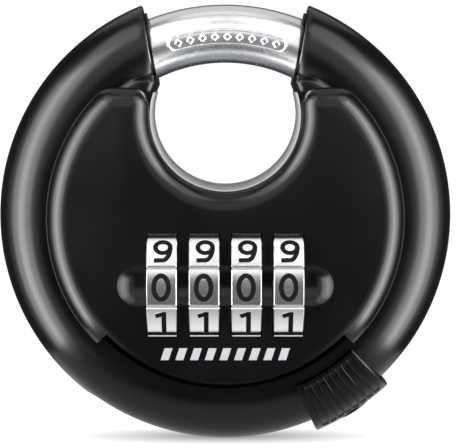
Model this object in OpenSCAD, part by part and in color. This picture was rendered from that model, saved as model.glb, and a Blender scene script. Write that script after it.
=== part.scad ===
// Disc padlock with a four-dial combination.
// The disc's axis is Y: the face looks along -Y, the flat back lies at y = 0, the shackle is at the top (+Z).
// Shapes are drawn in disc coordinates (x right, y up, z towards the face, z = 0 halfway through the lock)
// and module standing() then turns them upright.

/* [Disc] */
// Outer radius of the black rim
disc_r = 35; // [33:0.5:38]
// Radius of the circle along which the rim and the shackle run
rim_c = 28.15; // [27.5:0.05:28.5]
// Half of the lock's thickness, from the middle plane to the face
half_t = 13.5; // [13.2:0.1:14.5]
// Radius of the raised face at its foot
plate_r = 27.1; // [26.5:0.1:27.4]
// Radius of the rounded edge of the raised face
plate_round = 3.4; // [2:0.1:3.6]

/* [Throat] */
// Radius of the opening that the hasp goes through
throat_r = 11.3; // [10.5:0.1:11.6]
// Height of the opening's centre above the disc's centre
throat_y = 15.65; // [15:0.05:16]
// Radius of the cover's rounded edge around the opening
throat_round = 2.6; // [1.5:0.1:2.8]
// Half-width of the gap in the rim, at height gap_y
gap_half = 10.34; // [9.8:0.02:10.6]
// Lean of the rim's cut ends from upright, in degrees
gap_lean = 9.7; // [5:0.1:12]

/* [Shackle] */
// Radius of the shackle's round bar
rod_r = 4.5; // [4:0.1:4.6]
// Angle of the shackle's leading end, clockwise from the top, in degrees
shackle_from = -36.5; // [-40:0.5:-34]
// Angle of the shackle's trailing end, clockwise from the top, in degrees
shackle_to = 150; // [148:0.5:152]
// Angle of the knob's middle, clockwise from the top, in degrees
knob_at = 146.5; // [145:0.5:147]
// How far the shackle turns to open, in degrees
open_turn = 67; // [64:0.5:68]

/* [Dials] */
// Distance from one dial to the next
dial_pitch = 6.31; // [6.2:0.01:6.5]
// Width of a dial
dial_w = 4.47; // [4:0.01:4.5]
// Radius of a dial over its corners
dial_r = 9.75; // [9.5:0.05:9.8]
// Height of the dials' axis below the disc's centre
dial_drop = 9.7; // [9.6:0.05:9.8]
// Distance of the dials' axis in front of the middle plane
dial_fore = 7.2; // [7.1:0.05:7.3]

/* [Mechanism] */
// How far the bolt moves into the shackle
bolt_travel = 3.5; // [3:0.1:3.6]
// How far the reset slide moves the clutches
reset_travel = 1.2; // [1.1:0.05:1.25]
// Running clearance of a shaft in its bore
run_gap = 0.07; // [0.03:0.01:0.1]

/* [Hidden] */
$fn = 96;

eps = 0.01;
far = 60;

// Walls of the rim, from the shackle outwards
tunnel_r = rod_r + 0.3;
tube_r = tunnel_r + 0.7;
cover_in = tube_r + 0.05;
cover_r = disc_r - rim_c;

// Shell bowl behind the raised face
bowl_r = 24.2;
bowl_in = 23.3;
bowl_top = half_t - 1.3;
bowl_floor = bowl_top - 0.7;
mouth_h = 2.6;
skirt_z = 6.9;

// Throat and gap
gap_y = 20.74;
cover_back = 0.45;
tie_w = 3.4;
ledge_z = half_t - throat_round - 0.45;
ear_y = 19.9;
ear_t = 0.7;
shell_ear_y = ear_y - ear_t - 0.05;
shoulder_top = 5.9;

// Slot zone around the bottom, where the knob travels
zone_half = 46.2;
zone_r = 24.6;
zone_z = 8.6;
knob_half = 10.5;
slot_half = 2.6;
slot_margin = 4.6;
slot_from = knob_at - slot_margin;
slot_to = knob_at + open_turn + slot_margin;

// Chassis castings, split behind the dials
chassis_r = bowl_in - 0.15;
chassis_top = bowl_floor - 0.1;
split_z = -3.4;

// Stamped outline on the shackle
emboss_from = -18.7;
emboss_to = 20;
emboss_c = 27.6;
emboss_half = 1.25;
emboss_w = 0.25;
emboss_end = 0.55;
emboss_deep = 0.14;

// Knob, its ribs and its screw
knob_gap = 0.3;
knob_t = 1;
rib_count = 9;
rib_pitch = 1.8;
rib_half = 0.45;
border_half = 0.85;
rib_h = 0.35;
rib_sink = 0.4;
rib_inset = 0.12;
screw_shank_r = 1.7;
screw_head_r = 2.6;
screw_head_at = disc_r + 0.75;

// Dial stack
dial_x = [for (i = [-1.5 : 1.5]) i * dial_pitch];
dial_gap = 0.27;
wall_end = dial_x[3] + dial_w / 2 + dial_gap;
window_r = dial_r + 0.25;
window_w = dial_w + 0.3;
spin_r = dial_r + 0.3;
recess_half = 13.14;
recess_r = 3.08;
scoop_r = 4.36;
scoop_z = half_t + sqrt(pow(scoop_r, 2) - pow(recess_r, 2));
boss_z = scoop_z - scoop_r - 0.75;

// Clutch sleeves, their keys and their gates
sleeve_r = 3.9;
sleeve_half = 3.1;
sleeve_bore = 3.2;
key_r = 4.75;
key_w = 1.2;
key_from = -0.4;
key_to = 0.6;
flange_t = 1.2;
rod_bore = 1.7;
gate_r = 3.05;
gate_w = 1.5;
groove_r = 4.9;
chamber_r = 5.0;
chamber_to = -0.55;

// Spindle and bolt
spindle_r = 1.6;
fin_r = 2.85;
fin_w = 1.2;
fin_t = 0.8;
fin_gap = 0.25;
spindle_from = -18.6;
block_x = 15.3;
block_w = 1.3;
nose_r = 2;
nose_tip = 20;
notch_r = 2.35;
notch_x = nose_tip + bolt_travel + 0.6;

// Reset slide
fork_x = 14.25;
fork_t = 0.8;
pusher_r = 3.5;
pusher_x = dial_x[3] + sleeve_half + 0.06;
fin_room = 1.05;
arm_low = -15.5;
arm_high = -12.6;
end_wall_x = 13;
fork_top = 3.8;
button_z = 11.9;
button_len = 4.8;
button_x = fork_x + fork_t / 2 - 3.9;
button_face = half_t - 0.5;

// Printed bars under the dials
mark_y = -20;
mark_pitch = 2.2;
mark_t = 0.06;

// Fasteners of the back and of the shells
screw_r = 1.4;
screw_at = [[-17.2, 2.5], [17.2, 2.5], [-11, -18.6], [11, -18.6]];
rivet_r = 1.2;
rivet_at = [[-20.3, -5], [-14.8, 4], [14.8, 4], [0, -21.4]];

black = [0.07, 0.07, 0.075];
steel = [0.78, 0.79, 0.8];
chrome = [0.86, 0.87, 0.88];
zinc = [0.6, 0.61, 0.62];
brass = [0.78, 0.62, 0.3];

// ---- placing ----

module standing() {
    translate([0, -half_t, 0])
        rotate([90, 0, 0])
            children();
}

// Sweeps a profile (distance from the disc's axis, depth) between two angles clockwise from the top
module arc_sweep(from, to) {
    rotate([0, 0, 90 - to])
        rotate_extrude(angle = to - from)
            children();
}

module around_axis() {
    rotate_extrude()
        children();
}

// Places things along the dials' axis: local z runs along +X, local x points to the face
module on_dial_axis(x = 0) {
    translate([x, -dial_drop, dial_fore])
        rotate([0, 90, 0])
            rotate([0, 0, 180])
                children();
}

// ---- shared outlines ----

// Opening for the hasp: a circle, and the gap in the rim above it
module throat_2d(grow = 0) {
    function half_at(y) = gap_half + grow + tan(gap_lean) * (y - gap_y);
    translate([0, throat_y])
        circle(throat_r + grow);
    polygon([
        [-half_at(throat_y), throat_y],
        [half_at(throat_y), throat_y],
        [half_at(disc_r + 5), disc_r + 5],
        [-half_at(disc_r + 5), disc_r + 5]]);
}

module throat_cut(grow = 0, from = -far, to = far) {
    translate([0, 0, from])
        linear_extrude(to - from)
            throat_2d(grow);
}

// Half of a ring's section, on the face side of the middle plane
module half_ring_2d(outer, inner) {
    intersection() {
        translate([rim_c, 0])
            difference() {
                circle(outer);
                circle(inner);
            }
        square([far, far]);
    }
}

module shackle_tunnel(r = tunnel_r) {
    around_axis()
        translate([rim_c, 0])
            circle(r);
}

// Slot through the rim for the knob's screw
module knob_slot() {
    arc_sweep(slot_from, slot_to)
        translate([rim_c, -slot_half])
            square([20, 2 * slot_half]);
}

// Rounded corner to take off a vertical edge: the material left has radius r and its corner at the origin
module round_off_2d(r) {
    difference() {
        translate([-r, -r])
            square([r + 1, r + 1]);
        translate([-r, -r])
            circle(r);
    }
}

module stadium_2d(half_len, r) {
    translate([-half_len, 0])
        circle(r);
    translate([half_len, 0])
        circle(r);
    translate([-half_len, -r])
        square([2 * half_len, 2 * r]);
}

// ---- covers ----

// Raised plate with rounded edges, a skirt around the shell's bowl and a lip along the throat
module plate_blank() {
    difference() {
        around_axis()
            difference() {
                translate([0, skirt_z])
                    square([plate_r, half_t - skirt_z]);
                translate([0, skirt_z - 1])
                    square([bowl_r + 0.05, bowl_top + 0.05 - skirt_z + 1]);
                translate([plate_r, half_t])
                    round_off_2d(plate_round);
            }
        throat_cut(cover_back);
        translate([0, throat_y, half_t])
            rotate_extrude()
                translate([throat_r + cover_back, 0])
                    mirror([1, 0])
                        round_off_2d(throat_round);
        above(ear_y, 0);
    }
    throat_lip();
    ear_walls();
}

// Everything higher than y, in front of depth z
module above(y, z) {
    translate([-far, y, z])
        cube([2 * far, far, far]);
}

// Walls that close the two upper ends of the raised plate
module ear_walls() {
    difference() {
        intersection() {
            translate([0, 0, skirt_z])
                cylinder(h = half_t - skirt_z - 1, r = bowl_r + 0.3);
            above(ear_y - ear_t, 0);
        }
        above(ear_y, 0);
        throat_cut(cover_back);
    }
}

// Lip of the plate that covers the stepped edge of the shell along the throat
module throat_lip() {
    intersection() {
        translate([0, throat_y, 0])
            rotate_extrude()
                intersection() {
                    translate([throat_r + cover_back, ledge_z + 0.05])
                        square([tie_w - cover_back - 0.2, bowl_top - ledge_z]);
                    translate([throat_r + cover_back + throat_round, half_t - throat_round])
                        union() {
                            circle(throat_round);
                            translate([-throat_round, -10])
                                square([far, 10]);
                        }
                }
        around_axis()
            square([bowl_r, half_t]);
        difference() {
            cube(2 * far, center = true);
            throat_cut(cover_back);
            above(ear_y, 0);
        }
    }
}

module slot_zone_cut() {
    arc_sweep(180 - zone_half, 180 + zone_half)
        translate([zone_r, zone_z])
            square([10, 10]);
}

module window_cuts() {
    for (x = dial_x)
        on_dial_axis(x - window_w / 2)
            cylinder(h = window_w, r = window_r);
}

module face_plate() {
    color(black)
    standing()
    difference() {
        union() {
            plate_blank();
            translate([0, -dial_drop, boss_z])
                linear_extrude(half_t - boss_z - 1)
                    stadium_2d(recess_half, recess_r + 0.5);
        }
        slot_zone_cut();
        window_cuts();
        recess_scoop();
    }
}

// Rounded recess along the dials, for a finger tip
module recess_scoop() {
    translate([0, -dial_drop, scoop_z])
        rotate([0, 90, 0])
            rotate_extrude()
                intersection() {
                    rotate([0, 0, 90])
                        stadium_2d(recess_half, scoop_r);
                    translate([0, -far])
                        square([far, 2 * far]);
                }
}

module rear_plate() {
    color(black)
    standing()
    mirror([0, 0, 1])
    difference() {
        plate_blank();
        slot_zone_cut();
        reset_window(half_t - 3, half_t + 1);
        for (p = screw_at)
            translate([p[0], p[1], 0]) {
                cylinder(h = half_t + 1, r = screw_r + 0.15);
                translate([0, 0, half_t - 0.75])
                    cylinder(h = 2, r = 2.55);
            }
    }
}

// Slot in the back through which the reset button is reached
module reset_window(from, to, grow = 0) {
    left = button_x - reset_travel - 0.6 - grow;
    right = button_x + button_len + 0.2 + grow;
    translate([left, arm_low - 0.4 - grow, from])
        cube([right - left, arm_high - arm_low + 0.8 + 2 * grow, to - from]);
}

module rim_half() {
    difference() {
        union() {
            around_axis()
                difference() {
                    half_ring_2d(cover_r, cover_in);
                    square([bowl_r + 0.05, far]);
                }
            // Shoulders over the shell beside the gap
            intersection() {
                translate([0, 0, shoulder_top + 0.05])
                    cylinder(h = skirt_z - shoulder_top - 0.1, r = 26.2);
                above(shell_ear_y, 0);
            }
        }
        throat_cut(cover_back);
        knob_slot();
    }
}

module rim_cover_front() {
    color(black)
    standing()
    rim_half();
}

module rim_cover_rear() {
    color(black)
    standing()
    mirror([0, 0, 1])
    rim_half();
}

// ---- shells ----

module shell_half() {
    difference() {
        union() {
            around_axis()
                difference() {
                    union() {
                        half_ring_2d(tube_r, 0.1);
                        square([bowl_r, bowl_top]);
                    }
                    translate([0, -1])
                        square([bowl_in, bowl_floor + 1]);
                    translate([bowl_in - 1, -1])
                        square([3, mouth_h + 1]);
                }
            throat_wall();
            // Shoulders beside the gap
            intersection() {
                translate([0, 0, shoulder_top - 0.7])
                    cylinder(h = 0.7, r = bowl_r);
                above(shell_ear_y - 0.7, 0);
            }
        }
        shackle_tunnel();
        throat_cut(0);
        throat_cut(tie_w - 0.1, ledge_z, far);
        above(shell_ear_y, shoulder_top);
        knob_slot();
    }
}

// Wall of the throat and the flange that steps down behind the cover's lip
module throat_wall() {
    intersection() {
        union() {
            throat_cut(0.7, 0, ledge_z);
            throat_cut(tie_w + 0.6, ledge_z - 1, bowl_top);
        }
        around_axis()
            square([bowl_r, bowl_top]);
    }
}

module front_shell() {
    color(steel)
    standing()
    difference() {
        shell_half();
        translate([0, -dial_drop, 5])
            linear_extrude(20)
                stadium_2d(recess_half, recess_r + 0.7);
        translate([-wall_end, -dial_drop - 9.5, 5])
            cube([2 * wall_end, 19, 20]);
        rivet_holes(rivet_r + 0.05);
    }
}

module rear_shell() {
    color(steel)
    standing()
    mirror([0, 0, 1])
    difference() {
        shell_half();
        reset_window(5, 20, 0.3);
        rivet_holes(rivet_r + 0.05);
        screw_holes(screw_r + 0.15);
    }
}

module rivet_holes(r) {
    for (p = rivet_at)
        translate([p[0], p[1], -far])
            cylinder(h = 2 * far, r = r);
}

module screw_holes(r) {
    for (p = screw_at)
        translate([p[0], p[1], 0])
            cylinder(h = far, r = r);
}

// ---- chassis ----

// Casting blank between two depths, clear of the throat's wall
module chassis_blank(from, to) {
    difference() {
        translate([0, 0, from])
            cylinder(h = to - from, r = chassis_r);
        throat_cut(0.85);
        throat_cut(tie_w + 0.8, ledge_z - 1.1, far);
        mirror([0, 0, 1])
            throat_cut(tie_w + 0.8, ledge_z - 1.1, far);
        shackle_tunnel(tunnel_r + 0.02);
        above(shell_ear_y - 0.85, -far / 2);
        rivet_holes(rivet_r + 0.05);
    }
}

// Room for one dial to turn
module dial_rooms() {
    for (x = dial_x)
        on_dial_axis(x - dial_w / 2 - dial_gap)
            cylinder(h = dial_w + 2 * dial_gap, r = spin_r);
}

module chassis() {
    color(zinc)
    standing()
    difference() {
        chassis_blank(split_z, chassis_top);
        dial_rooms();
        // Open to the face above the dials
        translate([0, -dial_drop, boss_z - 0.2])
            linear_extrude(20)
                stadium_2d(recess_half, recess_r + 0.7);
        translate([-wall_end, -dial_drop - 9.3, boss_z - 0.2])
            cube([2 * wall_end, 18.6, 20]);
        on_dial_axis(-14.6)
            cylinder(h = 14.6 + end_wall_x + 1, r = sleeve_r + run_gap);
        on_dial_axis(spindle_from - 1)
            cylinder(h = 30, r = spindle_r + run_gap);
        reset_room();
        bolt_room();
        leaf_room();
    }
}

// Space that the reset slide's fork and arm sweep
module reset_room() {
    translate([end_wall_x, arm_low - 0.2, -far])
        cube([fork_x + fork_t + 0.15 - end_wall_x, arm_high - arm_low + 0.4, far + dial_fore + 5]);
    translate([end_wall_x, arm_low - 0.2, dial_fore - 4.2])
        cube([fork_x + fork_t + 0.15 - end_wall_x, 9.6 + 0.2, 8.5]);
}

// Space that the bolt block and its nose sweep
module bolt_room() {
    translate([block_x - 0.25, -dial_drop - 2.2, -2.4])
        cube([10, 4.4, dial_fore + 2.4 + 2.4]);
    translate([end_wall_x, -dial_drop, 0])
        rotate([0, 90, 0])
            cylinder(h = 12, r = nose_r + 0.2);
}

module leaf_room() {
    translate([-wall_end, -dial_drop - 7, split_z - 1])
        cube([2 * wall_end, 14, 1 + 1.6]);
}

module chassis_rear() {
    color(zinc)
    standing()
    difference() {
        chassis_blank(-chassis_top, split_z - 0.05);
        reset_room();
        mirror([0, 0, 1])
            screw_holes(screw_r - 0.2);
    }
}

// ---- springs ----

// Leaf comb behind the dials, one finger to a dial
module detent_spring() {
    color(brass)
    standing()
    translate([0, -dial_drop, split_z + 0.02]) {
        translate([-wall_end + 0.3, -6.6, 0])
            cube([2 * wall_end - 0.6, 2.6, 0.35]);
        for (x = dial_x)
            translate([x - 1.4, -4.1, 0])
                cube([2.8, 7.5, 0.35]);
    }
}

// One straight compression spring along +X, as rings joined to a wire helix
module coil(from, length, coil_r, wire_r, turns) {
    steps = 14 * turns;
    sides = 8;
    function centre_x(i) = from + wire_r + (length - 2 * wire_r) * i / steps;
    function ring_at(i) = let (a = 360 * turns * i / steps)
        [for (s = [0 : sides - 1]) let (b = 360 * s / sides, r = coil_r + wire_r * cos(b))
            [centre_x(i) + wire_r * sin(b), r * cos(a), r * sin(a)]];
    points = [for (i = [0 : steps]) for (p = ring_at(i)) p];
    walls = [for (i = [0 : steps - 1]) for (s = [0 : sides - 1]) let (t = (s + 1) % sides)
        [i * sides + s, i * sides + t, (i + 1) * sides + t, (i + 1) * sides + s]];
    first = [[for (s = [sides - 1 : -1 : 0]) s]];
    last = [[for (s = [0 : sides - 1]) steps * sides + s]];
    polyhedron(points = points, faces = concat(first, walls, last));
}

module bolt_spring() {
    color(steel)
    standing()
    translate([0, -dial_drop, 0])
        coil(end_wall_x + 0.1, block_x - end_wall_x - 0.2, 1.45, 0.22, 3);
}

module clutch_spring() {
    color(steel)
    standing()
    translate([0, -dial_drop, dial_fore])
        coil(-14.5, 14.5 - dial_x[3] - sleeve_half - 0.1, 2.9, 0.25, 2);
}

// ---- shackle ----

module shackle() {
    color(steel)
    standing()
    difference() {
        arc_sweep(shackle_from, shackle_to)
            translate([rim_c, 0])
                circle(rod_r);
        bolt_notch();
        rotate([0, 0, open_turn])
            bolt_notch();
        knob_screw_bore(screw_shank_r + 0.02);
        emboss_cut();
    }
}

// Hole that the bolt's nose enters
module bolt_notch() {
    translate([0, -dial_drop, 0])
        rotate([0, 90, 0])
            cylinder(h = notch_x, r = notch_r);
}

// Outline groove stamped on the front of the shackle
module emboss_cut() {
    difference() {
        emboss_sector(emboss_half, 0);
        emboss_sector(emboss_half - emboss_w, emboss_end);
        around_axis()
            translate([rim_c, 0])
                circle(rod_r - emboss_deep);
    }
}

module emboss_sector(half_w, inset) {
    arc_sweep(emboss_from + inset, emboss_to - inset)
        translate([emboss_c - half_w, 0])
            square([2 * half_w, 10]);
}

module knob_screw_bore(r) {
    rotate([0, 0, 90 - knob_at])
        translate([rim_c + 1, 0, 0])
            rotate([0, 90, 0])
                cylinder(h = far, r = r);
}

// ---- knob ----

module knob_section_2d(inner, outer, inset) {
    intersection() {
        translate([rim_c, 0])
            difference() {
                circle(outer);
                circle(inner);
            }
        translate([plate_r + 0.6 + inset, -far])
            square([far, 2 * far]);
    }
}

module knob_rib(at, half_w) {
    top = cover_r + knob_gap + knob_t;
    arc_sweep(at - half_w, at + half_w)
        knob_section_2d(top - rib_sink, top + rib_h, rib_inset);
}

module shackle_knob() {
    color(black)
    standing()
    difference() {
        union() {
            arc_sweep(knob_at - knob_half, knob_at + knob_half)
                knob_section_2d(cover_r + knob_gap, cover_r + knob_gap + knob_t, 0);
            for (side = [-1, 1])
                knob_rib(knob_at + side * (knob_half - border_half - 0.15), border_half);
            for (i = [0 : rib_count - 1])
                knob_rib(knob_at + (i - (rib_count - 1) / 2) * rib_pitch, rib_half);
        }
        knob_screw_bore(screw_shank_r + 0.02);
        rotate([0, 0, 90 - knob_at])
            translate([screw_head_at, 0, 0])
                rotate([0, 90, 0])
                    cylinder(h = 5, r = screw_head_r + 0.15);
    }
}

module knob_screw() {
    color(steel)
    standing()
    rotate([0, 0, 90 - knob_at])
        translate([rim_c + 1, 0, 0])
            rotate([0, 90, 0]) {
                cylinder(h = screw_head_at - rim_c - 1, r = screw_shank_r);
                translate([0, 0, screw_head_at - rim_c - 1])
                    difference() {
                        cylinder(h = 0.7, r = screw_head_r);
                        translate([0, 0, 0.3])
                            cylinder(h = 2, r = 1.2, $fn = 6);
                    }
            }
}

// ---- dials and clutches ----

module dial(x) {
    color(chrome)
    standing()
    on_dial_axis(x)
    difference() {
        translate([0, 0, -dial_w / 2])
            rotate([0, 0, 18])
                cylinder(h = dial_w, r = dial_r, $fn = 10);
        // Groove along every corner
        for (i = [0 : 9])
            rotate([0, 0, 36 * i + 18])
                translate([dial_r + 0.15, 0, -5])
                    cylinder(h = 10, r = 0.75, $fn = 24);
        translate([0, 0, -5])
            cylinder(h = 10, r = sleeve_r + run_gap);
        translate([0, 0, -dial_w / 2 - 1])
            cylinder(h = dial_w / 2 + chamber_to + 1, r = chamber_r);
        // Ten grooves for the clutch's key
        for (i = [0 : 9])
            rotate([0, 0, 36 * i])
                translate([0, -key_w / 2 - 0.08, chamber_to - 0.1])
                    cube([groove_r, key_w + 0.16, 5]);
    }
}

module clutch(x) {
    color(brass)
    standing()
    on_dial_axis(x)
    difference() {
        union() {
            translate([0, 0, -sleeve_half])
                cylinder(h = 2 * sleeve_half, r = sleeve_r);
            translate([0, -key_w / 2, key_from])
                cube([key_r, key_w, key_to - key_from]);
        }
        for (side = [-1, 1])
            translate([0, 0, side > 0 ? flange_t / 2 : -10 - flange_t / 2])
                cylinder(h = 10, r = sleeve_bore);
        translate([0, 0, -10])
            cylinder(h = 20, r = rod_bore);
        // Gate for the spindle's fin
        translate([0, -gate_w / 2, -5])
            cube([gate_r, gate_w, 10]);
    }
}

// ---- spindle, bolt and reset ----

module spindle() {
    color(steel)
    standing()
    on_dial_axis(0) {
        translate([0, 0, spindle_from])
            cylinder(h = block_x - spindle_from, r = spindle_r);
        for (x = dial_x)
            translate([0, -fin_w / 2, x - flange_t / 2 - fin_gap - fin_t])
                cube([fin_r, fin_w, fin_t]);
    }
}

module bolt() {
    color(steel)
    standing() {
        translate([block_x, -dial_drop - nose_r, -nose_r])
            cube([block_w, 2 * nose_r, dial_fore + nose_r + 2]);
        translate([block_x + block_w, -dial_drop, 0])
            rotate([0, 90, 0])
                cylinder(h = nose_tip - block_x - block_w, r = nose_r);
    }
}

module reset_slide() {
    color(brass)
    standing()
    difference() {
        union() {
            translate([fork_x, arm_low, -button_z])
                cube([fork_t, arm_high - arm_low, button_z + dial_fore + fork_top]);
            translate([fork_x, arm_low, dial_fore - 4])
                cube([fork_t, 9.4, 4 + fork_top]);
            on_dial_axis(pusher_x)
                cylinder(h = fork_x + fork_t - pusher_x, r = pusher_r);
        }
        on_dial_axis(-5)
            cylinder(h = 40, r = rod_bore);
        // Room for the last fin when the bolt is out
        on_dial_axis(pusher_x - 1)
            cylinder(h = 1 + fin_room, r = fin_r + 0.2);
    }
}

module reset_button() {
    color(black)
    standing()
    difference() {
        translate([button_x, arm_low, -button_face])
            cube([button_len, arm_high - arm_low, button_face - button_z]);
        // Finger grooves
        for (i = [-1 : 1])
            translate([button_x + button_len / 2 + i * 1.2 - 0.25, arm_low - 1, -button_face - 0.3])
                cube([0.5, 10, 0.6]);
    }
}

// ---- marks and fasteners ----

// Plain printed motif under the dials: a row of slanting bars
module face_mark() {
    color(chrome)
    standing()
    translate([0, mark_y, half_t + eps])
        linear_extrude(mark_t)
            for (i = [-4 : 4])
                translate([i * mark_pitch, 0])
                    polygon([[-0.9, -0.9], [0.3, -0.9], [0.9, 0.9], [-0.3, 0.9]]);
}

module back_screws() {
    color(steel)
    standing()
    mirror([0, 0, 1])
    for (p = screw_at)
        translate([p[0], p[1], 0])
            difference() {
                union() {
                    translate([0, 0, bowl_floor - 4])
                        cylinder(h = half_t - 0.72 - bowl_floor + 4, r = screw_r - 0.22);
                    translate([0, 0, half_t - 0.72])
                        cylinder(h = 0.6, r = 2.4);
                }
                translate([0, 0, half_t - 0.5])
                    cylinder(h = 2, r = 1.1, $fn = 6);
            }
}

module shell_rivets() {
    color(steel)
    standing()
    for (p = rivet_at)
        translate([p[0], p[1], -bowl_top])
            cylinder(h = 2 * bowl_top, r = rivet_r);
}

// ---- output ----

face_plate();
rear_plate();
rim_cover_front();
rim_cover_rear();
front_shell();
rear_shell();
chassis();
chassis_rear();
detent_spring();
clutch_spring();
bolt_spring();
face_mark();
back_screws();
shell_rivets();
shackle();
shackle_knob();
knob_screw();
dial(dial_x[0]);  // dial_1
dial(dial_x[1]);  // dial_2
dial(dial_x[2]);  // dial_3
dial(dial_x[3]);  // dial_4
clutch(dial_x[0]);  // clutch_1
clutch(dial_x[1]);  // clutch_2
clutch(dial_x[2]);  // clutch_3
clutch(dial_x[3]);  // clutch_4
spindle();
bolt();
reset_slide();
reset_button();
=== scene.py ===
"""Disc padlock: the visible pieces, materials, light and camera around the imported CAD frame.

Shapes are worked out in disc coordinates in millimetres: x right, y up, z towards the face, z = 0 halfway
through the lock. Angles around the disc run clockwise from the top. disc() turns both into the row frame.
"""
import math
import bmesh
import bpy
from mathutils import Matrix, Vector

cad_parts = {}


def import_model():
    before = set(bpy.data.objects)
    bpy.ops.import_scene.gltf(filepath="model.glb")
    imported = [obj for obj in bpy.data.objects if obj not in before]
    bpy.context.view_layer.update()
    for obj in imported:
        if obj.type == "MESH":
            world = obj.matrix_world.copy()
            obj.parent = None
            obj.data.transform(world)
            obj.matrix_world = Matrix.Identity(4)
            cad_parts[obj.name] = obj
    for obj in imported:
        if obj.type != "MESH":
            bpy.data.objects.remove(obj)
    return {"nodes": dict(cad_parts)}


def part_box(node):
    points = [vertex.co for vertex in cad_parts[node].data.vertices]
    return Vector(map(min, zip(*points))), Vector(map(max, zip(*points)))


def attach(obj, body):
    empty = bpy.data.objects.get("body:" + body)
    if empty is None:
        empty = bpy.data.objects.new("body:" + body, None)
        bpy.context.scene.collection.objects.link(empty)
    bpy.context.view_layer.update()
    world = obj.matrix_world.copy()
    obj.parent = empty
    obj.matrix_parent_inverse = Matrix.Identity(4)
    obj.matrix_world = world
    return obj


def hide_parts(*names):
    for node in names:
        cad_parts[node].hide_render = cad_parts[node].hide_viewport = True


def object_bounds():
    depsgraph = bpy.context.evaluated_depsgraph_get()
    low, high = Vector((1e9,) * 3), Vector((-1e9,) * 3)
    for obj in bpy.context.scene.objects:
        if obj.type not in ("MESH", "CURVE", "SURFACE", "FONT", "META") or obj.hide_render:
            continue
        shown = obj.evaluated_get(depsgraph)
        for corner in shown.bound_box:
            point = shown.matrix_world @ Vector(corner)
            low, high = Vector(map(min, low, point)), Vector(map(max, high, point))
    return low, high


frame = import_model()
cad_lo, cad_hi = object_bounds()

MM = 0.001
FACE_LO, FACE_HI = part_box("face_plate")
HALF_T = -FACE_LO.y / 2 / MM
DISC_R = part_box("rim_cover_front")[1].x / MM
PLATE_R = FACE_HI.x / MM
SHACKLE_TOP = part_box("shackle")[1].z / MM
DIAL_LO, DIAL_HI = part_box("dial_1")
DIAL_W = (DIAL_HI.x - DIAL_LO.x) / MM
DIAL_Y = (DIAL_HI.z + DIAL_LO.z) / 2 / MM
DIAL_PITCH = (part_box("dial_2")[0].x - DIAL_LO.x) / MM

# Ring
RIM_C = 28.15
ROD_R = SHACKLE_TOP - RIM_C
COVER_R = DISC_R - RIM_C
COVER_IN = ROD_R + 1.05
# Gap in the ring and the throat below it
GAP_Y, GAP_HALF, GAP_LEAN = 20.74, 10.79, math.tan(math.radians(9.7))
THROAT_Y, THROAT_R = 15.65, 11.4
# Raised face: each rounded edge is a quarter of an ellipse, (width, height)
EAR_Y, EAR_OUT, EAR_IN = 19.9, 4.0, 2.8
EDGE_OUT, EDGE_EAR, EDGE_THROAT = (3.4, 3.4), (3.0, 3.0), (2.9, 2.6)
SKIRT_Z, LIP_Z = 6.9, 10.5
WALL_T, CEILING_Z = 1.2, HALF_T - 1.24
# Knob, dials, shackle and bolt
KNOB_AT, KNOB_HALF, OPEN_TURN = 146.5, 10.5, 67.0
DIAL_Z, DIAL_R = 7.2, 9.75
EMBOSS_AT, EMBOSS_C = 0.65, 27.6
BOLT_TRAVEL, NOTCH_R, NOTCH_SPARE = 3.5, 2.35, 0.6


# ---- coordinates ----

def disc(x, y, z):
    """Row-frame point, in metres, for disc coordinates in millimetres."""
    return Vector((x, -z - HALF_T, y)) * MM


def polar(r, theta, z):
    a = math.radians(theta)
    return disc(r * math.sin(a), r * math.cos(a), z)


def ramp(value, low, high):
    """0 below low, 1 above high, smooth between."""
    t = min(max((value - low) / (high - low), 0.0), 1.0)
    return t * t * (3 - 2 * t)


def span(start, end, count):
    return [start + (end - start) * i / (count - 1) for i in range(count)]


# ---- mesh building ----

def finish_mesh(name, mesh, material, sharp=35):
    mesh.materials.append(material)
    smooth(mesh, sharp)
    obj = bpy.data.objects.new(name, mesh)
    bpy.context.scene.collection.objects.link(obj)
    return obj


def mesh_from_bmesh(name, bm):
    bmesh.ops.recalc_face_normals(bm, faces=bm.faces)
    mesh = bpy.data.meshes.new(name)
    bm.to_mesh(mesh)
    bm.free()
    return mesh


def add_grid(bm, rings, close_rings=False):
    """Skins rings of points, closed loops of one length, and caps the ends if the rings don't close."""
    rows = [[bm.verts.new(p) for p in ring] for ring in rings]
    count = len(rows[0])
    pairs = list(zip(rows, rows[1:]))
    if close_rings:
        pairs.append((rows[-1], rows[0]))
    for a, b in pairs:
        for i in range(count):
            j = (i + 1) % count
            bm.faces.new((a[i], a[j], b[j], b[i]))
    if not close_rings:
        bm.faces.new(rows[0])
        bm.faces.new(rows[-1])


def grid_piece(name, rings, material, close_rings=False, sharp=35):
    bm = bmesh.new()
    add_grid(bm, rings, close_rings)
    return finish_mesh(name, mesh_from_bmesh(name, bm), material, sharp)


def smooth(mesh, sharp):
    """Smooth shading, with edges above an angle in degrees kept sharp."""
    for poly in mesh.polygons:
        poly.use_smooth = True
    mesh.set_sharp_from_angle(angle=math.radians(sharp))


def cut(obj, cutters, added=()):
    """Joins closed meshes to a piece, then subtracts others from it, for good."""
    cutters = list(added) + list(cutters)
    for i, cutter in enumerate(cutters):
        mod = obj.modifiers.new("cut", "BOOLEAN")
        mod.object = cutter
        mod.operation = "UNION" if i < len(added) else "DIFFERENCE"
        mod.solver = "EXACT"
    dg = bpy.context.evaluated_depsgraph_get()
    mesh = bpy.data.meshes.new_from_object(obj.evaluated_get(dg))
    obj.modifiers.clear()
    obj.data = mesh
    smooth(mesh, 35)
    for cutter in cutters:
        bpy.data.objects.remove(cutter)


def seat(obj, body, nodes=()):
    """Fixes a piece to a body, in place of CAD nodes."""
    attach(obj, body)
    if nodes:
        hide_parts(*nodes)
    return obj


# ---- materials ----

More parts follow.
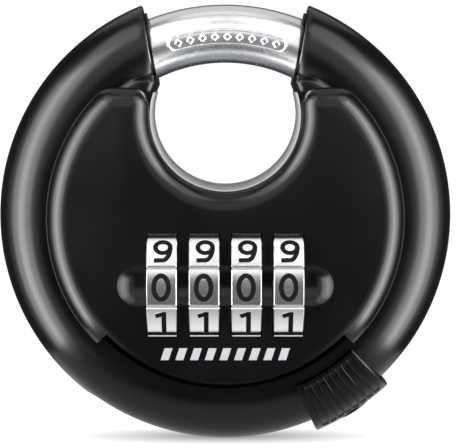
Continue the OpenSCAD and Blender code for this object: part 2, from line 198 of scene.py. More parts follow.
def new_material(name):
    mat = bpy.data.materials.new(name)
    mat.use_nodes = True
    tree = mat.node_tree
    return mat, tree, tree.nodes["Principled BSDF"]


def add_node(tree, kind, **values):
    """Adds a shader node and sets its inputs; an underscore in a name stands for a space."""
    node = tree.nodes.new(kind)
    for socket, value in values.items():
        node.inputs[socket.replace("_", " ")].default_value = value
    return node


def noise(tree, scale, detail, stretch=(1, 1, 1)):
    """Noise in object space; scale is in waves per metre."""
    coords = add_node(tree, "ShaderNodeTexCoord")
    mapping = add_node(tree, "ShaderNodeMapping", Scale=stretch)
    tex = add_node(tree, "ShaderNodeTexNoise", Scale=scale, Detail=detail)
    tree.links.new(coords.outputs["Object"], mapping.inputs["Vector"])
    tree.links.new(mapping.outputs["Vector"], tex.inputs["Vector"])
    return tex.outputs["Fac"]


def map_range(tree, value, start, end, low, high):
    """Runs from low to high while value runs from start to end."""
    node = add_node(tree, "ShaderNodeMapRange", From_Min=start, From_Max=end, To_Min=low, To_Max=high)
    tree.links.new(value, node.inputs["Value"])
    return node.outputs["Result"]


def two_tone(tree, fac, dark, light):
    node = tree.nodes.new("ShaderNodeMix")
    node.data_type = "RGBA"
    node.inputs["A"].default_value = (*dark, 1)
    node.inputs["B"].default_value = (*light, 1)
    tree.links.new(fac, node.inputs["Factor"])
    return node.outputs["Result"]


def bump(tree, bsdf, height, strength, distance):
    node = add_node(tree, "ShaderNodeBump", Strength=strength, Distance=distance)
    tree.links.new(height, node.inputs["Height"])
    tree.links.new(node.outputs["Normal"], bsdf.inputs["Normal"])


# The middle of a noise's values, where nearly all of them lie
NOISE_LOW, NOISE_HIGH = 0.3, 0.7


def moulded_black(name, tone, rough, gloss=0.22):
    """Satin moulded plastic: fine spark-eroded grain and a slow change of gloss."""
    mat, tree, bsdf = new_material(name)
    bsdf.inputs["Specular IOR Level"].default_value = gloss
    slow = noise(tree, 60, 3)
    fine = noise(tree, 5200, 2)
    colour = two_tone(tree, slow, [tone * 0.8] * 3, [tone * 1.2, tone * 1.2, tone * 1.25])
    tree.links.new(colour, bsdf.inputs["Base Color"])
    gloss_map = map_range(tree, slow, NOISE_LOW, NOISE_HIGH, rough - 0.03, rough + 0.03)
    tree.links.new(gloss_map, bsdf.inputs["Roughness"])
    bump(tree, bsdf, fine, 0.12, 0.00002)
    return mat


def metal(name, dark, light, rough, grain=(1, 1, 1), grain_scale=4000, strength=0.05, metallic=1.0):
    """Metal with a grain in its gloss and relief, drawn out along the axes where grain is below 1."""
    mat, tree, bsdf = new_material(name)
    bsdf.inputs["Metallic"].default_value = metallic
    slow = noise(tree, 120, 3)
    lines = noise(tree, grain_scale, 3, grain)
    tree.links.new(two_tone(tree, slow, dark, light), bsdf.inputs["Base Color"])
    gloss_map = map_range(tree, lines, NOISE_LOW, NOISE_HIGH, rough * 0.93, rough * 1.08)
    tree.links.new(gloss_map, bsdf.inputs["Roughness"])
    bump(tree, bsdf, lines, strength, 0.00001)
    return mat


BLACK = moulded_black("satin_black_cover", 0.0004, 0.25)
KNOB_BLACK = moulded_black("satin_black_knob", 0.0006, 0.27, 0.14)
INK = moulded_black("black_figure_ink", 0.002, 0.5, 0.04)
STEEL = metal("drawn_stainless", (0.5, 0.51, 0.52), (0.56, 0.57, 0.58), 0.34,
              grain_scale=900, strength=0, metallic=0.8)
POLISHED = metal("polished_shackle", (0.5, 0.51, 0.52), (0.56, 0.56, 0.57), 0.26,
                 grain_scale=900, strength=0.002)
CHROME = metal("satin_dial_chrome", (0.72, 0.73, 0.74), (0.78, 0.78, 0.79), 0.2,
               grain=(0.08, 1, 1), strength=0.006)
PHOSPHATED = metal("phosphated_steel", (0.02, 0.02, 0.02), (0.03, 0.03, 0.03), 0.5)
ZINC = metal("cast_zinc", (0.42, 0.43, 0.44), (0.55, 0.56, 0.57), 0.45, strength=0.3)
BRASS = metal("turned_brass", (0.7, 0.52, 0.24), (0.82, 0.64, 0.34), 0.24)
PLATED = metal("zinc_plated_steel", (0.6, 0.6, 0.6), (0.74, 0.74, 0.73), 0.3)
PRINT = metal("silver_print", (0.24, 0.24, 0.25), (0.3, 0.3, 0.31), 0.5, metallic=0.85)

# The steel shells take the black cover's material as painted shade, for their ends in the gap that lie in
# shadow
CAD_LOOKS = {
    "front_shell": BLACK, "rear_shell": BLACK, "chassis": ZINC, "chassis_rear": ZINC,
    "detent_spring": PHOSPHATED, "clutch_spring": PLATED, "bolt_spring": PLATED, "face_mark": PRINT,
    "back_screws": PLATED, "shell_rivets": PLATED, "knob_screw": KNOB_BLACK, "spindle": PLATED,
    "bolt": PLATED, "reset_slide": BRASS, "reset_button": KNOB_BLACK,
    **{f"clutch_{i}": PHOSPHATED for i in range(1, 5)},
}


def dress_cad_nodes():
    """Gives the CAD pieces that stay visible their materials."""
    for name, material in CAD_LOOKS.items():
        mesh = frame["nodes"][name].data
        mesh.materials.clear()
        mesh.materials.append(material)
        for poly in mesh.polygons:
            poly.material_index = 0


def throat_liner():
    """Bare steel wall of the throat, a hair inside the shells, whose black is painted shade."""
    top, half = 18, HALF_T - 2.1
    inner, outer = THROAT_R - 0.13, THROAT_R - 0.07
    section = ((inner, -half), (inner, half), (outer, half), (outer, -half))
    rings = []
    for a in span(math.radians(top), math.radians(-180 - top), 220):
        rings.append([disc(r * math.cos(a), THROAT_Y + r * math.sin(a), z) for r, z in section])
    return seat(grid_piece("throat_liner", rings, STEEL, sharp=30), "lock_body")


# ---- raised face ----

def fillet_corner(centre, radius, from_deg, to_deg, count):
    """Points and outward normals along an arc; angles are counter-clockwise from +x."""
    made = []
    for a in span(from_deg, to_deg, count):
        n = (math.cos(math.radians(a)), math.sin(math.radians(a)))
        made.append(((centre[0] + radius * n[0], centre[1] + radius * n[1]), n))
    return made


def face_outline():
    """Half outline of the raised face, right side, from the bottom to the throat's lowest point.

    Each entry is (point, outward normal, size of the rounded edge, height of the wall's foot).
    """
    def between(a, b, t):
        return (a[0] + (b[0] - a[0]) * t, a[1] + (b[1] - a[1]) * t)

    out_x = math.sqrt((PLATE_R - EAR_OUT) ** 2 - (EAR_Y - EAR_OUT) ** 2)
    out_deg = math.degrees(math.atan2(EAR_Y - EAR_OUT, out_x))
    in_y = EAR_Y - EAR_IN
    in_x = math.sqrt((THROAT_R + EAR_IN) ** 2 - (in_y - THROAT_Y) ** 2)
    in_deg = math.degrees(math.atan2(in_y - THROAT_Y, in_x))
    rim = fillet_corner((0, 0), PLATE_R, -90, out_deg, 90)
    outer = fillet_corner((out_x, EAR_Y - EAR_OUT), EAR_OUT, out_deg, 90, 16)[1:]
    inner = fillet_corner((in_x, in_y), EAR_IN, 90, 180 + in_deg, 16)
    throat = fillet_corner((0, THROAT_Y), THROAT_R, in_deg, -90, 70)[1:]
    throat = [(p, (-n[0], -n[1])) for p, n in throat]
    half = [(p, n, EDGE_OUT, SKIRT_Z) for p, n in rim]
    half += [(p, n, between(EDGE_OUT, EDGE_EAR, i / 15), SKIRT_Z) for i, (p, n) in enumerate(outer)]
    half += [(p, n, between(EDGE_EAR, EDGE_THROAT, i / 15), SKIRT_Z) for i, (p, n) in enumerate(inner)]
    for i, (p, n) in enumerate(throat):
        half.append((p, n, EDGE_THROAT, SKIRT_Z + (LIP_Z - SKIRT_Z) * ramp(i, 2, 8)))
    return half


def mirrored(half):
    """The whole outline: the half, then its mirror image back to the start."""
    back = [((-p[0], p[1]), (-n[0], n[1]), edge, foot) for p, n, edge, foot in reversed(half[1:-1])]
    return half + back


def plate_rings(outline, side):
    """Rings of a capped wall with a rounded top edge. side is 1 for the face and -1 for the back."""
    def ring(inset, height):
        return [disc(p[0] - n[0] * inset(e), p[1] - n[1] * inset(e), side * height(e, f))
                for p, n, e, f in outline]

    break_edge = 0.25
    rings = [ring(lambda e: WALL_T, lambda e, f: CEILING_Z)]
    rings.append(ring(lambda e: WALL_T, lambda e, f: f))
    rings.append(ring(lambda e: break_edge, lambda e, f: f))
    rings.append(ring(lambda e: 0.0, lambda e, f: f + break_edge))
    for t in span(0, 90, 15):
        s, c = math.sin(math.radians(t)), math.cos(math.radians(t))
        rings.append(ring(lambda e, c=c: e[0] * (1 - c), lambda e, f, s=s: HALF_T - e[1] + e[1] * s))
    return rings


def cylinder_along_x(name, x0, x1, y, z, r):
    sides = 96
    circle = [(y + r * math.cos(2 * math.pi * i / sides), z + r * math.sin(2 * math.pi * i / sides))
              for i in range(sides)]
    return grid_piece(name, [[disc(x, a, b) for a, b in circle] for x in (x0, x1)], BLACK)


def scoop_cutter(half_len, half_w, slope_deg):
    """Capsule that cuts a thumb recess with a round section and round ends."""
    r = half_w / math.sin(math.radians(slope_deg))
    z = HALF_T + r * math.cos(math.radians(slope_deg))
    profile = [(-half_len - r * math.cos(math.radians(a)), r * math.sin(math.radians(a)))
               for a in span(2, 90, 24)]
    profile += [(-x, q) for x, q in reversed(profile)]
    sides = 96
    rings = []
    for x, q in profile:
        turn = [2 * math.pi * i / sides for i in range(sides)]
        rings.append([disc(x, DIAL_Y + q * math.cos(t), z + q * math.sin(t)) for t in turn])
    return grid_piece("scoop", rings, BLACK)


# The stepped zone around the knob's slot: half-angle in degrees, inner radius and height
ZONE_HALF, ZONE_R, ZONE_Z = 46.2, 24.6, 8.6
SCREWS = [(-17.2, 2.5), (17.2, 2.5), (-11, -18.6), (11, -18.6)]
RECESS_HALF, RECESS_R = 13.14, 3.08
WINDOW_R, WINDOW_W = DIAL_R + 0.25, DIAL_W + 0.3


def zone_cutter(side):
    """Lowers the raised plate to a step around the knob's slot."""
    rings = []
    for a in span(180 - ZONE_HALF, 180 + ZONE_HALF, 90):
        corners = ((ZONE_R, ZONE_Z), (30, ZONE_Z), (30, 16), (ZONE_R, 16))
        rings.append([polar(r, a, side * z) for r, z in corners])
    return grid_piece("zone", rings, BLACK)


def dial_centres():
    return [DIAL_PITCH * i for i in (-1.5, -0.5, 0.5, 1.5)]


def recess_boss():
    """Slab under the thumb recess, so that the recess has a floor."""
    reach = RECESS_R + 0.5
    outline = fillet_corner((RECESS_HALF, DIAL_Y), reach, -90, 90, 40)
    outline += fillet_corner((-RECESS_HALF, DIAL_Y), reach, 90, 270, 40)
    rings = [[disc(*p, z) for p, _ in outline] for z in (CEILING_Z - 0.8, CEILING_Z + 0.4)]
    return grid_piece("boss", rings, BLACK)


def ear_corner(hand, side, y0, y1, z0, z1):
    """Block beside an ear's rounded inner corner, so that the cover runs on along the throat."""
    width, bevel = 3.2, 0.12
    rings = []
    for y in span(y0, y1, 12):
        x = math.sqrt(THROAT_R ** 2 - (y - THROAT_Y) ** 2)
        corners = ((x + bevel, z1), (x, z1 - bevel), (x, z0), (x + width, z0), (x + width, z1))
        rings.append([disc(hand * a, y, side * b) for a, b in corners])
    return rings


def plate_mesh(name, side):
    bm = bmesh.new()
    add_grid(bm, plate_rings(mirrored(face_outline()), side))
    for hand in (1, -1):
        add_grid(bm, ear_corner(hand, side, 16.6, EAR_Y - 0.05, LIP_Z, LIP_Z + 0.45))
        add_grid(bm, ear_corner(hand, side, EAR_Y - 0.65, EAR_Y - 0.05, SKIRT_Z + 0.02, LIP_Z + 0.1))
    return finish_mesh(name, mesh_from_bmesh(name, bm), BLACK, 28)


def face_moulding():
    obj = plate_mesh("face_moulding", 1)
    cutters = [cylinder_along_x("window", x - WINDOW_W / 2, x + WINDOW_W / 2, DIAL_Y, DIAL_Z, WINDOW_R)
               for x in dial_centres()]
    cutters.append(zone_cutter(1))
    cutters.append(scoop_cutter(RECESS_HALF, RECESS_R, 45))
    cut(obj, cutters, [recess_boss()])
    return seat(obj, "lock_body", ["face_plate"])


def back_moulding():
    """Back cover: the same raised shape, with the reset slot and four sunk screw holes."""
    obj = plate_mesh("back_moulding", -1)
    button_lo, button_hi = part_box("reset_button")
    r = 0.8
    left, right = button_lo.x / MM - 1.8 + r, button_hi.x / MM + 0.2 - r
    low, high = button_lo.z / MM - 0.4 + r, button_hi.z / MM + 0.4 - r
    corners = []
    for i, centre in enumerate(((right, high), (left, high), (left, low), (right, low))):
        corners += fillet_corner(centre, r, 90 * i, 90 * i + 90, 9)
    rings = [[disc(p[0] + n[0] * e, p[1] + n[1] * e, -z) for p, n in corners]
             for e, z in ((0, 8), (0, HALF_T - 0.3), (0.6, HALF_T + 0.3))]
    cutters = [grid_piece("slot", rings, BLACK)]
    cutters.append(zone_cutter(-1))
    for x, y in SCREWS:
        for hole_r, deep in ((1.55, 8), (2.55, HALF_T - 0.75)):
            hole = fillet_corner((x, y), hole_r, 0, 360 - 360 / 64, 64)
            rings = [[disc(p[0], p[1], -z) for p, _ in hole] for z in (deep, HALF_T + 1)]
            cutters.append(grid_piece("hole", rings, BLACK))
    cut(obj, cutters)
    return seat(obj, "lock_body", ["rear_plate"])


# ---- rim ----

def gap_angle(r, inset=0.0):
    """Angle at which the ring's cut plane crosses radius r."""
    theta = 0.4
    for _ in range(12):
        theta = math.asin((GAP_HALF + inset + GAP_LEAN * (r * math.cos(theta) - GAP_Y)) / r)
    return math.degrees(theta)


RIM_FOOT, SEAM_HALF, SEAM_BEVEL = 24.25, 0.03, 0.12
SLOT_HALF, SLOT_MARGIN = 2.6, 4.6
SLOT_FROM, SLOT_TO = KNOB_AT - SLOT_MARGIN, KNOB_AT + OPEN_TURN + SLOT_MARGIN


def slot_edge(theta):
    """Half-width of the knob's slot at an angle: 0 outside it, with round ends."""
    reach = min(theta - SLOT_FROM, SLOT_TO - theta) * math.radians(1) * DISC_R
    if reach <= 0:
        return 0.0
    short = max(SLOT_HALF - reach, 0.0)
    return math.sqrt(SLOT_HALF ** 2 - short ** 2)


def rim_section(edge_z, shrink):
    """Closed section of the front half of the rim as (radius, depth); shrink thins it from both faces."""
    outer_r, inner_r = COVER_R - shrink, COVER_IN + shrink
    foot = RIM_FOOT - RIM_C
    low = edge_z + SEAM_HALF
    count = 34
    out_from = math.degrees(math.acos(foot / outer_r))
    out_to = math.degrees(math.asin((low + SEAM_BEVEL) / outer_r))
    in_from = math.degrees(math.asin(low / inner_r))
    in_to = math.degrees(math.acos(max(foot / inner_r, -1)))
    outer = [(outer_r * math.cos(math.radians(a)), outer_r * math.sin(math.radians(a)))
             for a in span(out_from, out_to, count)]
    outer.append((outer[-1][0] - SEAM_BEVEL, low))
    inner = [(inner_r * math.cos(math.radians(a)), inner_r * math.sin(math.radians(a)))
             for a in span(in_from, in_to, count)]
    return [(RIM_C + r, z) for r, z in outer + inner]


def rim_stations():
    """Fractions along the ring, closer together at the slot's ends."""
    base = span(0, 1, 181)
    total = 360 - 2 * gap_angle(RIM_C)
    ends = [(a - gap_angle(RIM_C)) / total for a in (SLOT_FROM, SLOT_TO)]
    extra = [e + side * 0.0012 * k for e, side in zip(ends, (1, -1)) for k in range(11)]
    return sorted(base[1:-1] + extra)


def rim_half(name, side, node):
    """One half of the cover around the ring, with its knob slot and both shoulders."""
    end_round = [(0.0, 0.3), (0.09, 0.09), (0.3, 0.0)]

    def ring(fraction, inset, shrink):
        theta = gap_angle(RIM_C) + fraction * (360 - 2 * gap_angle(RIM_C))
        made = []
        for r, z in rim_section(slot_edge(theta) if 0 < fraction < 1 else 0.0, shrink):
            start = gap_angle(r, inset)
            made.append(polar(r, start + fraction * (360 - 2 * start), side * z))
        return made

    rings = [ring(0.0, inset, shrink) for inset, shrink in end_round]
    rings += [ring(f, *end_round[-1]) for f in rim_stations()]
    rings += [ring(1.0, inset, shrink) for inset, shrink in reversed(end_round)]
    bm = bmesh.new()
    add_grid(bm, rings)
    for hand in (1, -1):
        add_shoulder(bm, hand, side)
    obj = finish_mesh(name, mesh_from_bmesh(name, bm), BLACK, 40)
    return seat(obj, "lock_body", [node])


def add_shoulder(bm, hand, side):
    """Moulded shoulder beside the gap: rounded towards the throat, and running down to the rim's tube."""
    base_z, top_z, valley_z, edge_w = 5.93, 6.85, 5.98, 1.5

    def row(y):
        if y < GAP_Y:
            start = math.sqrt((THROAT_R + 0.3) ** 2 - (y - THROAT_Y) ** 2)
        else:
            start = GAP_HALF + GAP_LEAN * (y - GAP_Y)
        end = math.sqrt(26.2 ** 2 - y * y)
        crest = top_z + (valley_z - top_z) * ramp(y, 20.7, 21.8)
        top = []
        for t in [0.0, 0.05, 0.15, 0.35, 0.6, 0.9, 1.2, 1.5] + span(1.7, end - start, 8):
            rise = math.sqrt(max(1 - (1 - min(t / edge_w, 1)) ** 2, 0))
            z = base_z + 0.02 + (crest - base_z - 0.02) * rise
            r = math.hypot(start + t, y)
            tube = math.sqrt(COVER_R ** 2 - (RIM_C - r) ** 2) - 0.1
            top.append((start + t, z + (min(z, tube) - z) * ramp(r, 24.5, 26.0)))
        return [(x, y, z) for x, z in top] + [(top[-1][0], y, base_z), (top[0][0], y, base_z)]

    rows = [row(y) for y in span(19.2, 22.2, 22)]
    add_grid(bm, [[disc(hand * x, y, side * z) for x, y, z in r] for r in rows])


# ---- shackle ----

def pill_distance(u, v, half_len, half_w):
    """Signed distance to a stadium, negative inside."""
    du = max(abs(u) - (half_len - half_w), 0.0)
    return math.hypot(du, v) - half_w


def emboss(theta, r):
    """Relief of the stamped field on the front of the bar, in millimetres."""
    rise, sink, pitch, size = 0.13, 0.05, 1.9, 0.62
    u = math.radians(theta - EMBOSS_AT) * EMBOSS_C
    v = r - EMBOSS_C
    d = pill_distance(u, v, 9.32, 1.25)
    border = rise * (1 - ramp(abs(d + 0.16), 0.08, 0.2))
    field = -sink * ramp(-d, 0.2, 0.34)
    k = (u + 0.5 * pitch) % pitch - 0.5 * pitch
    lozenge = abs(k) / size + abs(v) / size
    mark = rise * (1 - ramp(lozenge, 0.75, 1.0)) if abs(u) < 8.1 else 0.0
    return border + field + mark


def shackle_bar():
    """Curved round bar from its free end to the knob, with the two holes for the bolt."""
    lead, trail = -36.5, 150.0
    angles = span(lead, -20.5, 24) + span(-20.5, 22, 380)[1:] + span(22, trail, 110)[1:]
    phis = span(0, 40, 9)[:-1] + span(40, 135, 96)[:-1] + span(135, 360, 46)[:-1]

    def ring(theta, shrink, textured=True):
        made = []
        for phi in phis:
            a = math.radians(phi)
            r = RIM_C + ROD_R * math.cos(a)
            stamped = textured and math.sin(a) > 0 and abs(theta - EMBOSS_AT) < 21
            q = ROD_R - shrink + (emboss(theta, r) if stamped else 0.0)
            made.append(polar(RIM_C + q * math.cos(a), theta, q * math.sin(a)))
        return made

    rounding = [(0.0, 1.0), (0.25, 0.45), (0.6, 0.13), (1.1, 0.0)]
    step = math.degrees(1 / RIM_C)
    rings = [ring(lead + x * step, s, False) for x, s in rounding]
    rings += [ring(a, 0.0) for a in angles if lead + 1.2 * step < a < trail - 1.2 * step]
    rings += [ring(trail - x * step, s, False) for x, s in reversed(rounding)]
    obj = grid_piece("shackle_bar", rings, POLISHED, sharp=50)
    notch_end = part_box("bolt")[1].x / MM + BOLT_TRAVEL + NOTCH_SPARE
    notches = [cylinder_along_x("notch", 0, notch_end, DIAL_Y, 0, NOTCH_R) for _ in range(2)]
    notches[1].rotation_euler.y = -math.radians(OPEN_TURN)
    cut(obj, notches)
    return seat(obj, "shackle_set", ["shackle"])


# ---- knob ----

FLUTES, FLUTE_PITCH = 8, 2.18


def flute(theta, phi):
    """Depth of the finger flutes on the knob's front and back faces."""
    off = (theta - KNOB_AT) / FLUTE_PITCH + FLUTES / 2
    if off < 0 or off > FLUTES:
        return 0.0
    near = abs(off - round(off)) * FLUTE_PITCH
    across = ramp(near, 0.18, 0.34)
    along = ramp(abs(phi), 20, 27) * (1 - ramp(abs(phi), 84, 88))
    return 0.27 * across * along


def shackle_knob():
    """Saddle over the rim, open towards the plates, with fluted front and back faces."""
    outer_r, inner_r = COVER_R + 1.6, COVER_R + 0.3
    reach = PLATE_R + 0.6 - RIM_C
    edge = math.degrees(math.acos(reach / outer_r))
    edge_in = math.degrees(math.acos(reach / inner_r))
    phis = span(edge, -edge, 121)

    def ring(theta, shrink, fluted=True):
        made = []
        for phi in phis:
            a = math.radians(phi)
            near_edge = min(edge - abs(phi), 2.0) / 2.0
            q = outer_r - shrink - 0.3 * (1 - math.sqrt(1 - (1 - near_edge) ** 2))
            if fluted:
                q -= flute(theta, phi)
            made.append(polar(RIM_C + q * math.cos(a), theta, q * math.sin(a)))
        for phi in span(-edge_in, edge_in, 31):
            a = math.radians(phi)
            made.append(polar(RIM_C + inner_r * math.cos(a), theta, inner_r * math.sin(a)))
        return made

    start, end = KNOB_AT - KNOB_HALF, KNOB_AT + KNOB_HALF
    ends = [(0.0, 0.3), (0.13, 0.09), (0.45, 0.0)]
    rings = [ring(start + x, s, False) for x, s in ends]
    rings += [ring(a, 0.0) for a in span(start + 0.6, end - 0.6, 250)]
    rings += [ring(end - x, s, False) for x, s in reversed(ends)]
    obj = grid_piece("knob_saddle", rings, KNOB_BLACK, sharp=40)
    return seat(obj, "shackle_set", ["shackle_knob"])


# ---- dials ----

CROWN = 0.16
APOTHEM = DIAL_R * math.cos(math.radians(18)) - CROWN - 0.05
HALF_SIDE = DIAL_R * math.sin(math.radians(18))
FLAT_HALF = HALF_SIDE - 0.42
GROOVE, CHAMFER, BORE_R = 0.8, 0.1, 4.1


def crown(u):
    """Height of a crowned side of the dial above its edges, u along the side."""
    return CROWN * (1 - (u / FLAT_HALF) ** 2)


def dial_profile(inset):
    """Outline of the ten-sided wheel as (towards the face, up) points, with a groove at each corner."""
    tips = [(-GROOVE, -FLAT_HALF - 0.12), (-0.08, -FLAT_HALF - 0.07)]
    tips += [(crown(u), u) for u in span(-FLAT_HALF, FLAT_HALF, 15)]
    tips += [(-0.08, FLAT_HALF + 0.07), (-GROOVE, FLAT_HALF + 0.12)]
    points = []
    for k in range(10):
        a = math.radians(36 * k)
        for depth, along in tips:
            f, u = APOTHEM + depth - inset, along * (1 - inset / APOTHEM)
            points.append((f * math.cos(a) - u * math.sin(a), f * math.sin(a) + u * math.cos(a)))
    return points


def wheel(name, x):
    """Ten-sided number wheel with chamfered sides and an open bore."""
    def ring(offset, points):
        return [disc(x + offset, DIAL_Y + u, DIAL_Z + f) for f, u in points]

    half = DIAL_W / 2
    full, less = dial_profile(0.0), dial_profile(CHAMFER)
    bore = [(p[0] * BORE_R / math.hypot(*p), p[1] * BORE_R / math.hypot(*p)) for p in full]
    rings = [ring(-half, bore), ring(-half, less), ring(-half + CHAMFER, full),
             ring(half - CHAMFER, full), ring(half, less), ring(half, bore)]
    return grid_piece(name, rings, CHROME, close_rings=True, sharp=20)


# Centre lines of the figures in a cell from -1 to 1 each way;
# an arc is (x, y, half-width, half-height, from, to) with its angles in degrees
FIGURE_W, FIGURE_H, STROKE = 1.1, 1.75, 0.36
FIGURES = {
    0: [[(-0.06, 0, 1, 1, 90, 450)]],
    1: [[(-0.85, 0.72), (0.15, 0.96)], [(0.28, 1.16), (0.28, -1.16)]],
    2: [[(0, 0.42, 0.95, 0.58, 165, -35), (-0.95, -1), (1, -1)]],
    3: [[(-0.05, 0.48, 0.85, 0.52, 150, -90), (-0.3, -0.04)], [(-0.05, -0.48, 0.95, 0.52, 90, -150)]],
    4: [[(0.45, -1.18), (0.45, 1), (-1, -0.45), (1.1, -0.45)]],
    5: [[(0.85, 1), (-0.75, 1), (-0.85, 0.05), (-0.05, -0.38, 0.98, 0.62, 125, -150)]],
    6: [[(0.9, 1), (0.1, -0.1, 1.1, 1.1, 100, 180)], [(0, -0.42, 1, 0.58, 90, 450)]],
    7: [[(-0.95, 1), (0.95, 1), (-0.35, -1.18)]],
    8: [[(0, 0.5, 0.85, 0.5, 90, 450)], [(0, -0.48, 1, 0.52, 90, 450)]],
    9: [[(0.15, 0.27, 1, 0.55, 0, 360)], [(0.15, 0.27, 1, 1.25, 0, -86), (-1.05, -1)]],
}


def centre_line(parts):
    """Points of a stroke in millimetres, close enough together to follow the crowned face."""
    points = []
    for part in parts:
        if len(part) == 2:
            points.append(part)
            continue
        x, y, half_w, half_h, start, end = part
        for a in span(start, end, 40):
            t = math.radians(a)
            points.append((x + half_w * math.cos(t), y + half_h * math.sin(t)))
    points = [(x * FIGURE_W, y * FIGURE_H) for x, y in points]
    dense = [points[0]]
    for (x0, y0), (x1, y1) in zip(points, points[1:]):
        steps = max(1, round(math.hypot(x1 - x0, y1 - y0) / 0.25))
        for i in range(1, steps + 1):
            dense.append((x0 + (x1 - x0) * i / steps, y0 + (y1 - y0) * i / steps))
    return dense


def stroke_sections(points, half_w):
    """Left and right edge points along a centre line, and whether it closes on itself."""
    closed = math.dist(points[0], points[-1]) < 0.01
    if closed:
        points = points[:-1]
    made = []
    for i, (x, y) in enumerate(points):
        before = points[i - 1] if closed or i else (x, y)
        after = points[(i + 1) % len(points)] if closed or i < len(points) - 1 else (x, y)
        d1 = Vector((x - before[0], y - before[1])).normalized()
        d2 = Vector((after[0] - x, after[1] - y)).normalized()
        n = (d1 + d2).normalized()
        reach = half_w / max(n.dot(d2 if d2.length else d1), 0.5)
        made.append(((x - n.y * reach, y + n.x * reach), (x + n.y * reach, y - n.x * reach)))
    return made, closed


def figures(name, x, grow, low, high, material):
    """The ten figures of a wheel as one mesh: 0 in front, rising numbers below it."""
    bm = bmesh.new()

    def place(digit, point, lift):
        a = math.radians(-36 * digit)
        f, u = APOTHEM + crown(point[1]) + lift, point[1]
        return disc(x + point[0], DIAL_Y + f * math.sin(a) + u * math.cos(a),
                    DIAL_Z + f * math.cos(a) - u * math.sin(a))

    for digit, strokes in FIGURES.items():
        for parts in strokes:
            sections, closed = stroke_sections(centre_line(parts), STROKE + grow)
            rings = [[place(digit, a, low), place(digit, a, high),
                      place(digit, b, high), place(digit, b, low)] for a, b in sections]
            add_grid(bm, rings, closed)
    return finish_mesh(name, mesh_from_bmesh(name, bm), material, 30)


def dials():
    """The four wheels, each with inked figures inside bright raised outlines."""
    outline_w, sunk, outline_h, ink_h = 0.1, -0.1, 0.03, 0.045
    for i, x in enumerate(dial_centres(), 1):
        body = f"dial_wheel_{i}"
        seat(wheel(f"dial_{i}_wheel", x), body, [f"dial_{i}"])
        seat(figures(f"dial_{i}_outlines", x, outline_w, sunk, outline_h, CHROME), body)
        seat(figures(f"dial_{i}_ink", x, 0.0, sunk, ink_h, INK), body)


# ---- floor, light and camera ----

# Strengths of the floor's painted glow seen in reflections, of the dim surroundings, and of the white the
# camera sees
FLOOR_GLOW, SURROUND, WHITE = 1.1, 0.06, 1.05


def floor():
    """Small dark plane that looks pale because it emits light.

    The camera sees white with a painted soft shadow under the lock; reflections see a painted glow near
    it.
    """
    bpy.ops.mesh.primitive_plane_add(size=0.084, location=(0, disc(0, 0, 0).y, cad_lo.z - 0.0002))
    plane = bpy.context.object
    plane.name = "floor"
    mat, tree, bsdf = new_material("glowing_floor_painted_shadow")
    bsdf.inputs["Base Color"].default_value = (0.03, 0.03, 0.03, 1)
    bsdf.inputs["Roughness"].default_value = 0.9
    bsdf.inputs["Specular IOR Level"].default_value = 0
    bsdf.inputs["Emission Color"].default_value = (1, 1, 1, 1)
    coords = add_node(tree, "ShaderNodeTexCoord")
    squeeze = add_node(tree, "ShaderNodeMapping", Scale=(0.35, 1, 1))
    length = add_node(tree, "ShaderNodeVectorMath")
    length.operation = "LENGTH"
    rays = add_node(tree, "ShaderNodeLightPath")
    pick = add_node(tree, "ShaderNodeMix")
    tree.links.new(coords.outputs["Object"], squeeze.inputs["Vector"])
    tree.links.new(squeeze.outputs["Vector"], length.inputs[0])
    away = length.outputs["Value"]
    tree.links.new(rays.outputs["Is Camera Ray"], pick.inputs["Factor"])
    # Reflections see a painted glow that fades out away from the lock
    tree.links.new(map_range(tree, away, 0.014, 0.034, FLOOR_GLOW, 0), pick.inputs["A"])
    # The camera sees white with a painted soft shadow under the lock
    tree.links.new(map_range(tree, away, 0.001, 0.009, 0.3, WHITE), pick.inputs["B"])
    tree.links.new(pick.outputs["Result"], bsdf.inputs["Emission Strength"])
    plane.data.materials.append(mat)


def world():
    """White to the camera; dim studio surroundings for everything that reflects."""
    scene_world = bpy.data.worlds.new("studio")
    bpy.context.scene.world = scene_world
    scene_world.use_nodes = True
    tree = scene_world.node_tree
    tree.nodes.clear()
    out = add_node(tree, "ShaderNodeOutputWorld")
    mix = add_node(tree, "ShaderNodeMixShader")
    rays = add_node(tree, "ShaderNodeLightPath")
    tree.links.new(rays.outputs["Is Camera Ray"], mix.inputs["Fac"])
    for socket, strength in ((1, SURROUND), (2, WHITE)):
        shade = add_node(tree, "ShaderNodeBackground", Color=(1, 1, 1, 1), Strength=strength)
        tree.links.new(shade.outputs["Background"], mix.inputs[socket])
    tree.links.new(mix.outputs["Shader"], out.inputs["Surface"])


def softbox(name, direction, size, radiance):
    """Area light that faces the disc's centre; radiance sets how bright its reflection looks."""
    centre = disc(0, 0, 0)
    light = bpy.data.lights.new(name, "AREA")
    light.shape = "RECTANGLE"
    light.size, light.size_y = size
    light.energy = radiance * math.pi * size[0] * size[1]
    obj = bpy.data.objects.new(name, light)
    bpy.context.scene.collection.objects.link(obj)
    obj.location = centre + Vector(direction).normalized() * PANEL_FAR
    obj.rotation_mode = "QUATERNION"
    obj.rotation_quaternion = (centre - obj.location).to_track_quat("-Z", "Y")
    obj.visible_camera = False


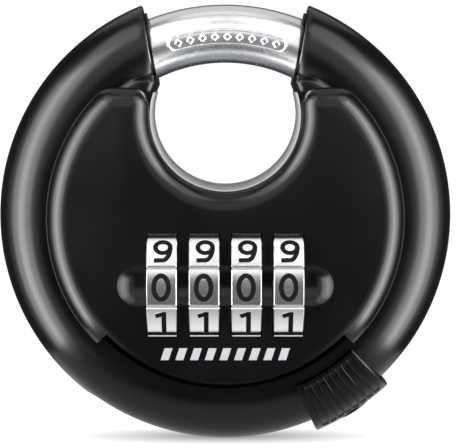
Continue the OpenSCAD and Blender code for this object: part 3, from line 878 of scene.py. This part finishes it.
# Radiance of the soft panels: strips on both sides by angle from the view axis,
# and panels overhead by elevation. All stand PANEL_FAR metres from the lock.
SIDE_STRIPS = {24: 1.2, 42: 11, 60: 22, 78: 9, 96: 0.8}
SIDE_HIGH = 5
OVERHEAD = {14: 1.6, 32: 1.8, 50: 0.6, 68: 1.3, 90: 1.5}
BEHIND = 1.0
PANEL_FAR = 0.6


def heading(around, up):
    """Direction from the lock: degrees around from the view axis towards +x, and degrees up."""
    a, e = math.radians(around), math.radians(up)
    return (math.sin(a) * math.cos(e), -math.cos(a) * math.cos(e), math.sin(e))


def panel(wide_deg, high_deg):
    """Size of a panel that spans these angles as seen from the lock."""
    return [2 * PANEL_FAR * math.tan(math.radians(a / 2)) for a in (wide_deg, high_deg)]


def lights():
    for hand in (-1, 1):
        for around, radiance in SIDE_STRIPS.items():
            softbox(f"side_{hand * around}", heading(hand * around, -4), panel(18, 84), radiance)
        softbox(f"high_{hand}", heading(hand * 45, 50), panel(36, 26), SIDE_HIGH)
    for up, radiance in OVERHEAD.items():
        softbox(f"overhead_{up}", heading(0, up), panel(32, 18), radiance)
    softbox("behind", heading(180, 60), panel(60, 40), BEHIND)


def camera():
    """Level with the upper half of the lock, looking slightly down at the disc."""
    eye, target, width = disc(0, 21.4, 330), disc(0.42, -1.37, 0), 71.0 * MM
    data = bpy.data.cameras.new("camera")
    data.sensor_width = 36
    obj = bpy.data.objects.new("camera", data)
    bpy.context.scene.collection.objects.link(obj)
    obj.location = eye
    obj.rotation_mode = "QUATERNION"
    obj.rotation_quaternion = (target - eye).to_track_quat("-Z", "Y")
    data.lens = data.sensor_width * (target - eye).length / width
    data.clip_start, data.clip_end = 0.01, 20
    bpy.context.scene.camera = obj


dress_cad_nodes()
throat_liner()
face_moulding()
back_moulding()
rim_half("rim_front", 1, "rim_cover_front")
rim_half("rim_rear", -1, "rim_cover_rear")
shackle_bar()
shackle_knob()
dials()
floor()
world()
lights()
camera()
bpy.context.scene.view_settings.view_transform = "Standard"
